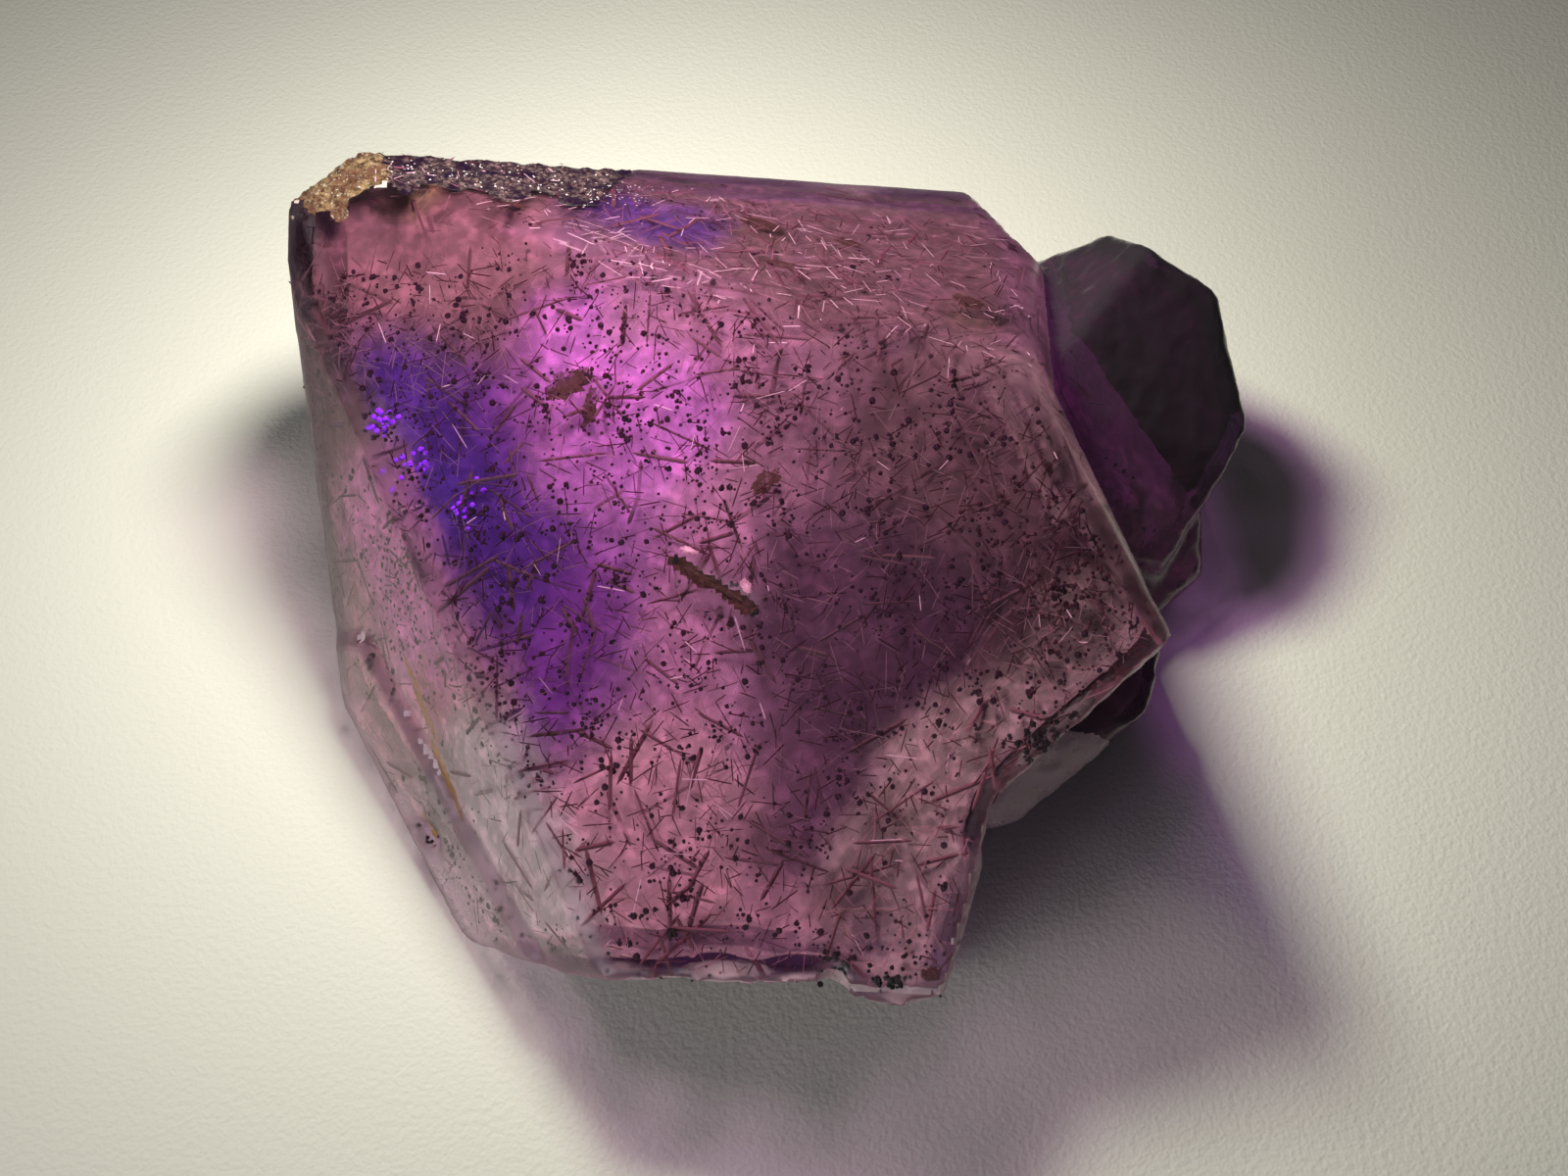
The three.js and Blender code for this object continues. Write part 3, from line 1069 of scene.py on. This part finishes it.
OVER_FACES = {
    "front": 0.58,
    "top": 0.19,
    "left": 0.08,
    "right": 0.03,
    "back": 0.05,
    "far_back": 0.04,
    "under_tip": 0.03,
}
needles("fine_needles", 3000, OVER_FACES, (0.45, 0.06), (0.4, 1.5), (0.025, 0.06), 0.35,
        stained("dark red needle", colour(70, 30, 40)))
needles("long_needles", 520, OVER_FACES, (0.9, 0.3), (1.4, 3.2), (0.09, 0.22), 0.3,
        stained("brown needle", colour(112, 74, 88), 0.6))
needles("hair_needles", 2600, OVER_FACES, (0.6, 0.1), (0.7, 2.2), (0.018, 0.035), 0.5,
        stained("pink-brown hair", colour(160, 118, 134), 0.6),
        tufts=[(13.5, 4.6, 1.3), (2.6, -13.5, 2.2), (-1, 8.6, 1.8), (8, -1, 2.5), (15, -6, 1.5),
               (-14.5, 9.0, 1.6), (-10.0, 8.4, 1.6), (-17.0, 6.8, 1.0)])
needles("bright_needles", 300, {"front": 0.22, "top": 0.72, "left": 0.06}, (0.10, 0.05), (0.5, 1.6),
        (0.02, 0.05), 0.25, dull("glinting needle", colour(220, 172, 196), 0.2, 0.2, 0.8),
        tufts=[(-7.5, 5.2, 0.9), (-4.5, 3.8, 1.0), (-1.5, 2.4, 0.9)], tuft_face="top")

# %% [markdown]
# Between the needles float dark, round specks, nearly all of them close below the front. They come singly
# and in little clusters. A ball with few sides is enough for a grain that is about a third of a millimetre
# at most, and its corners are shaken a little, so that no two grains look alike.

# %% Specks
SPECK_GROUPS = 1150
CLUSTERS = (1, 1, 2, 3, 5, 8)
CLUSTER_SPREAD = 0.55
SPECK_LEAST, SPECK_MORE, SPECK_MOST = 0.09, 0.07, 0.34

specks = Heap()
for face, share in {"front": 0.86, "top": 0.04, "left": 0.10}.items():
    for _ in range(int(SPECK_GROUPS * share)):
        centre = spot_under(rng, face, 0.25, 0.08, 0.10)
        cluster = rng.choice(CLUSTERS)
        for _ in range(cluster):
            near = centre + lie(rng, face, 0.2) * abs(rng.gauss(0, CLUSTER_SPREAD)) * MM * (cluster > 1)
            size = min(SPECK_MOST, SPECK_LEAST + rng.expovariate(1 / SPECK_MORE)) * MM
            if room(near) > size * 0.45:
                specks.pebble(near, size, rng.uniform(0.5, 1.0), faces[face].normal, rng)
specks.piece("dark_specks", dull("dark speck", colour(38, 14, 30), 0.6))

# %% [markdown]
# In a few places the small things gather: black crusts by the lower right edge, a hole and a cavity full of
# dirt, and patches where specks crowd together. A texture could draw them, but grains throw real little
# shades. Each place is a row with its face, across, up and depth in millimetres, its spread and its count
# of grains.

# %% Crusts and crowds
CRUSTS = [
    ("front", 14.7, -10.8, 0.05, 0.65, 150),
    ("front", 8.3, -20.0, 0.05, 0.35, 60),
    ("front", 6.2, -19.5, 0.10, 0.35, 60),
    ("front", 2.9, -4.9, 0.05, 0.10, 16),
    ("front", -0.4, -2.7, 0.05, 0.08, 10),
    ("left", -3.9, -12.0, 0.05, 0.35, 60),
    ("front", -0.4, -17.9, 0.08, 0.10, 10),
]
CROWDS = [
    ("front", 16.0, -5.2, 0.15, 1.3, 190),
    ("front", 14.0, -2.0, 0.20, 1.3, 90),
    ("front", -8.0, -6.4, 0.15, 1.0, 60),
    ("front", -2.5, 4.5, 0.25, 1.8, 110),
    ("left", -6.0, -1.0, 0.12, 1.8, 190),
]
GRAIN_CLEAR = 0.05 * MM


def gathered(name, groups, size, finish):
    """One mesh of grains that crowd around the named places."""
    grains = Heap()
    for face, across, up, depth, spread, count in groups:
        for _ in range(count):
            place = rng.gauss(across, spread), rng.gauss(up, spread), depth + rng.expovariate(8)
            spot = faces[face].at(*place)
            wide = rng.uniform(*size) * MM
            if room(spot) > GRAIN_CLEAR:
                grains.pebble(spot, wide, rng.uniform(0.5, 0.9), faces[face].normal, rng)
    return grains.piece(name, finish)


gathered("black_crusts", CRUSTS, (0.10, 0.30), dull("black crust", colour(24, 18, 22), 0.7))
gathered("speck_crowds", CROWDS, (0.09, 0.24), dull("dark red speck", colour(52, 20, 32), 0.6))

# %% [markdown]
# Brown, ochre and pale films float below the faces, in cracks that healed. A film is a ball pressed to a
# thin lens. Noise pulls its rim in and out, and its see-through share breaks it up, so no two are alike.
# Each row gives the face, across, up, depth, half length and half width in millimetres, and how far it is
# turned.

# %% Films
FILMS = [
    ("front", -5.2, 5.4, 0.7, 1.1, 0.65, 20),
    ("front", -4.2, 4.3, 0.6, 0.9, 0.35, 80),
    ("front", 3.4, 0.6, 0.5, 0.8, 0.45, 35),
    ("front", 1.0, -3.6, 0.12, 1.7, 0.16, -33),
    ("front", -5.1, -9.7, 0.2, 1.5, 0.10, 5),
    ("front", 9.9, -19.6, 0.2, 0.5, 0.30, 0),
    ("top", 0.3, 9.2, 0.25, 1.1, 0.60, -20),
    ("top", 4.3, 8.4, 0.25, 0.7, 0.40, -30),
    ("top", 1.5, 5.1, 0.25, 1.0, 0.40, -15),
    ("top", 9.5, 3.8, 0.2, 0.9, 0.55, -35),
    ("top", -10.5, 7.6, 0.2, 0.6, 0.30, -15),
]
CHIPS = [
    ("front", 0.2, -2.3, 0.06, 0.45, 0.16, -20),
    ("front", 2.6, -3.9, 0.06, 0.40, 0.22, -55),
]
OCHRE_FILMS = [
    ("left", -4.4, -6.0, 0.10, 2.0, 0.36, -53),
    ("left", -2.6, -8.9, 0.10, 2.0, 0.30, -50),
    ("left", -4.0, -11.6, 0.08, 0.6, 0.35, -70),
]
FILM_THICK = 0.06


def films(name, places, finish):
    """Thin, ragged lenses that float below the faces."""
    form = bmesh.new()
    bmesh.ops.create_icosphere(form, subdivisions=4, radius=1.0)
    points, sides = [], []
    for face_name, across, up, depth, long, wide, turn in places:
        face = faces[face_name]
        turned_by = math.radians(turn)
        run = face.across * math.cos(turned_by) + face.up * math.sin(turned_by)
        side = face.normal.cross(run)
        first = len(points)
        for corner in (v.co for v in form.verts):
            rag = 0.75 + 0.5 * ruffle(corner, 0.45, across + up) + 0.35 * ruffle(corner, 0.15, up)
            flat = run * (corner.x * long * rag) + side * (corner.y * wide * rag)
            points.append(face.at(across, up, depth) + (flat + face.normal * (corner.z * FILM_THICK)) * MM)
        sides += [tuple(first + v.index for v in f.verts) for f in form.faces]
    form.free()
    return shown(netted(name, points, sides, finish), name)


def ragged_film(name, tone, most):
    """A dull finish with holes in it. Where it is whole, it is as solid as the given share."""
    finish = Finish(name)
    patches = finish.grain(0.7, 4.0, 0.65)
    surface = finish.body(Base_Color=tone, Roughness=0.7, Alpha=patches.over(0.44, 0.25) * most)
    return finish.end(surface)


films("brown_films", FILMS, ragged_film("brown film", colour(72, 42, 44), 0.85))
films("pale_chips", CHIPS, ragged_film("pale chip", colour(206, 140, 172), 0.85))
films("ochre_films", OCHRE_FILMS, ragged_film("ochre film", colour(176, 126, 66), 0.9))

# %% [markdown]
# On the crest a few pale grains glint, and in the violet corner some sparks shine blue-violet, where cracks
# catch the lamp. A glint could be left to chance, but small grains of the right colour show at any angle.

# %% Glints and sparks
GLINTS = [("top", across, 10.3, 0.0, 0.9, 75) for across in (-15.5, -13, -10.5, -8, -6)]
SPARKS = [
    ("front", -13.6, 4.0, 0.7, 0.35, 24),
    ("front", -12.2, 2.0, 0.8, 0.5, 18),
    ("front", -9.6, 0.4, 0.8, 0.4, 16),
]
gathered("crest_glints", GLINTS, (0.05, 0.13), dull("crest glint", colour(226, 214, 220), 0.25, 0.4, 0.8))
gathered("violet_sparks", SPARKS, (0.16, 0.36), dull("violet spark", colour(150, 50, 255), 0.4))

# %% [markdown]
# The stage is plain: a pale sheet of paper that runs up into a wall all round. Turning one profile about
# the upright axis gives it the same gentle bend on every side, so no edge shows, whichever way one looks.

# %% Paper
PAPER_FLAT = 350 * MM
BEND = 150 * MM
BEND_TURNS = [math.radians(6 * i) for i in range(1, 15)]
PAPER_STEPS = 96
PAPER_TONE = colour(214, 214, 204)


def paper():
    """Matt paper with a fine tooth."""
    finish = Finish("pale paper")
    tooth = finish.grain(0.3, 1.0, 0.65)
    relief = finish.bump(tooth, 0.05)
    surface = finish.body(Base_Color=PAPER_TONE, Roughness=0.9, Specular_IOR_Level=0.2, Normal=relief)
    return finish.end(surface)


def turned(name, profile, steps, finish):
    """A sheet made by turning a profile of radius and height about the upright axis."""
    points = [Vector((0, 0, profile[0][1]))]
    sides = []
    for ring, (radius, height) in enumerate(profile[1:]):
        for i in range(steps):
            turn = math.tau * i / steps
            points.append(Vector((radius * math.cos(turn), radius * math.sin(turn), height)))
            here, there = ring * steps + i + 1, ring * steps + (i + 1) % steps + 1
            sides.append((0, here, there) if ring == 0 else (here - steps, here, there, there - steps))
    mesh = netted(name, points, sides, finish)
    mesh.polygons.foreach_set("use_smooth", [True] * len(mesh.polygons))
    made = placed(name, mesh)
    made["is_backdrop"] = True
    return made


profile = [(0, 0), (PAPER_FLAT, 0)]
profile += [(PAPER_FLAT + BEND * math.sin(turn), BEND * (1 - math.cos(turn))) for turn in BEND_TURNS]
floor = turned("paper_sheet", profile, PAPER_STEPS, paper())
floor.location.z = -0.02 * MM

# %% [markdown]
# A small lamp hangs close above and behind the stone, and a wide, soft fill stands far off at the front
# left. The small lamp is what makes the stone glow: its light runs in from behind and comes out through the
# quartz. Mirrored in the crest it would be a white bar, so reflections don't see it, and a far weaker lamp
# in its place gives them.

# %% Lamps
LAMP_AT, LAMP_AIM, LAMP_SIZE = (-7, 17, 46), (-5, 2, 8), 14
FILL_AT, FILL_AIM, FILL_SIZE = (-230, -190, 120), (0, 0, 8), 200
WARM, COOL = colour(255, 250, 240), colour(250, 250, 255)
CLOSE_POWER, GLINT_POWER, FILL_POWER = 0.046, 0.0007, 0.38
ROOM_LIGHT = 0.045


def soft_lamp(name, place, aim, size, power, tone):
    """A round, flat lamp that shines from a place towards another. Places and size are in millimetres."""
    light = bpy.data.lights.new(name, "AREA")
    light.shape = "DISK"
    light.size = size * MM
    light.energy = power
    light.color = tone[:3]
    lamp = placed(name, light)
    lamp.location = Vector(place) * MM
    lamp.rotation_euler = (Vector(place) - Vector(aim)).to_track_quat("Z", "Y").to_euler()
    lamp.visible_camera = False
    lamp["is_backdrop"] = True
    return lamp


close = soft_lamp("close_lamp", LAMP_AT, LAMP_AIM, LAMP_SIZE, CLOSE_POWER, WARM)
close.visible_glossy = False
close.visible_transmission = False
glint = soft_lamp("glint_lamp", LAMP_AT, LAMP_AIM, LAMP_SIZE, GLINT_POWER, WARM)
glint.visible_diffuse = False
soft_lamp("wide_fill", FILL_AT, FILL_AIM, FILL_SIZE, FILL_POWER, COOL)

world = bpy.data.worlds.new("dim room")
world.use_nodes = True
room_air = world.node_tree.nodes["Background"].inputs
room_air["Color"].default_value = colour(232, 230, 236)
room_air["Strength"].default_value = ROOM_LIGHT
bpy.context.scene.world = world

# %% [markdown]
# The camera looks down at the stone as one does when it lies on a desk. The standard view transform keeps
# the violet as strong as it is. Light needs only a few bounces here: in through the skin, once off a cloud
# and out again, so low limits save much time and cost hardly any light.

# %% Camera and light paths
CAMERA_AT = Vector((0.17, -55.93, 85.55)) * MM
CAMERA_DOWN = math.radians(55)
camera_data = bpy.data.cameras.new("camera")
camera_data.lens = 50
camera_data.sensor_width = 36
camera_data.clip_start = 1 * MM
camera = placed("camera", camera_data)
camera.location = CAMERA_AT
camera.rotation_euler = (math.radians(90) - CAMERA_DOWN, 0, 0)
bpy.context.scene.camera = camera
print("camera is", round((CAMERA_AT - HEART).length / MM, 1), "mm away from the stone's heart")

bpy.context.scene.view_settings.view_transform = "Standard"
tracing = bpy.context.scene.cycles
tracing.transparent_max_bounces = 8
tracing.max_bounces = 4
tracing.diffuse_bounces = 1
tracing.glossy_bounces = 2
tracing.transmission_bounces = 4
tracing.caustics_reflective = False

# %% [markdown]
# Last, the box of the frame's solid and the box of what one sees are kept side by side, and the size of
# what one sees is printed, so that a look at the numbers shows whether the stone kept its size.

boxes = {"cad": [list(corner) for corner in cad_box], "visual": [list(corner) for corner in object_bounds()]}
print("visual size, mm:", [round((high - low) / MM, 2) for low, high in zip(*boxes["visual"])])
